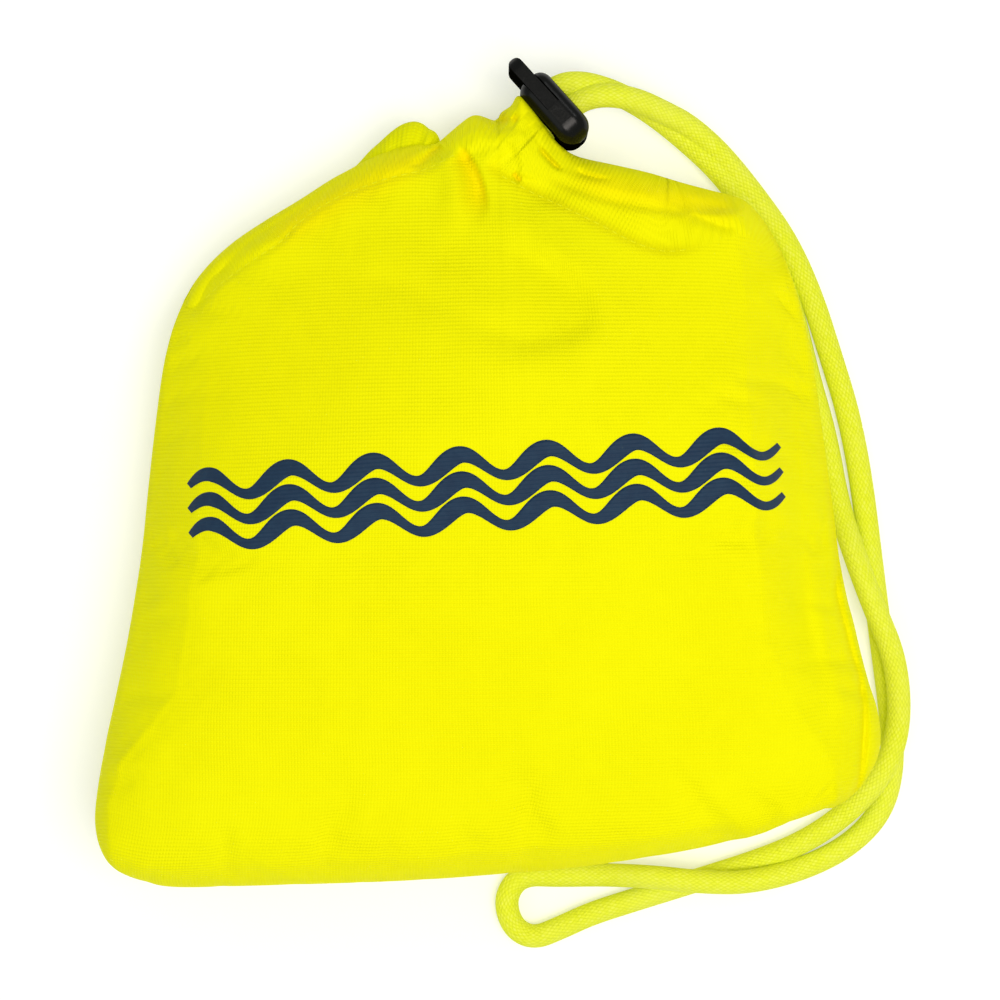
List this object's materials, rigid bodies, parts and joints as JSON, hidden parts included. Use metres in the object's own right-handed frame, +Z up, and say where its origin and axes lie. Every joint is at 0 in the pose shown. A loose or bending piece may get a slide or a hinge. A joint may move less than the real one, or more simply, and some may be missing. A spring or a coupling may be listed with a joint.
{
  "type": "throw rope bag",
  "caption": "Small drawstring throw line pouch lying flat, with a gathered mouth, a spring cord lock and a long doubled drawcord loop for carrying or clipping on",
  "frame": {"origin": "on the resting surface under the middle of the pouch and its cord lock, the free loop of cord left out", "axes": "+Z up out of the surface the pouch lies on, the printed front panel facing +Z; +Y from the pouch's base to its mouth; +X to the right with the mouth at the top"},
  "size_m": [0.171, 0.1877, 0.045],
  "materials": {
    "fabric": "fine ribbed polyester knit, fluorescent yellow, satin",
    "cord": "braided polyester cord, fluorescent yellow, matt",
    "thread": "sewing thread, yellow",
    "line": "braided floating polypropylene line, orange, matt",
    "lock_plastic": "moulded black acetal, semi-gloss",
    "spring_steel": "drawn spring wire"
  },
  "bodies": {
    "bag": {"front_panel": "fabric", "back_panel": "fabric", "left_side_seam": "fabric", "right_side_seam": "fabric", "bottom_seam": "fabric", "drawcord_channel": "fabric", "drawcord_in_channel": "cord", "cord_butt_whipping": "thread", "carry_loop_cord": "cord", "throw_line": "line"},
    "cord_lock": {"lock_casing": "lock_plastic", "lock_spring_upper": "spring_steel", "lock_spring_lower": "spring_steel"},
    "plunger": {"lock_plunger": "lock_plastic"}
  },
  "joints": [
    {"name": "lock_slide", "type": "slide", "parent": "bag", "child": "cord_lock", "axis": [0.7413, 0.6712, 0], "range_m": [0, 0.003]},
    {"name": "plunger_press", "type": "slide", "parent": "cord_lock", "child": "plunger", "axis": [0.6712, -0.7413, 0], "range_m": [0, 0.003], "stiffness_N_per_m": 1500, "springref_m": -0.002, "deforming": ["lock_spring_upper", "lock_spring_lower"]}
  ]
}
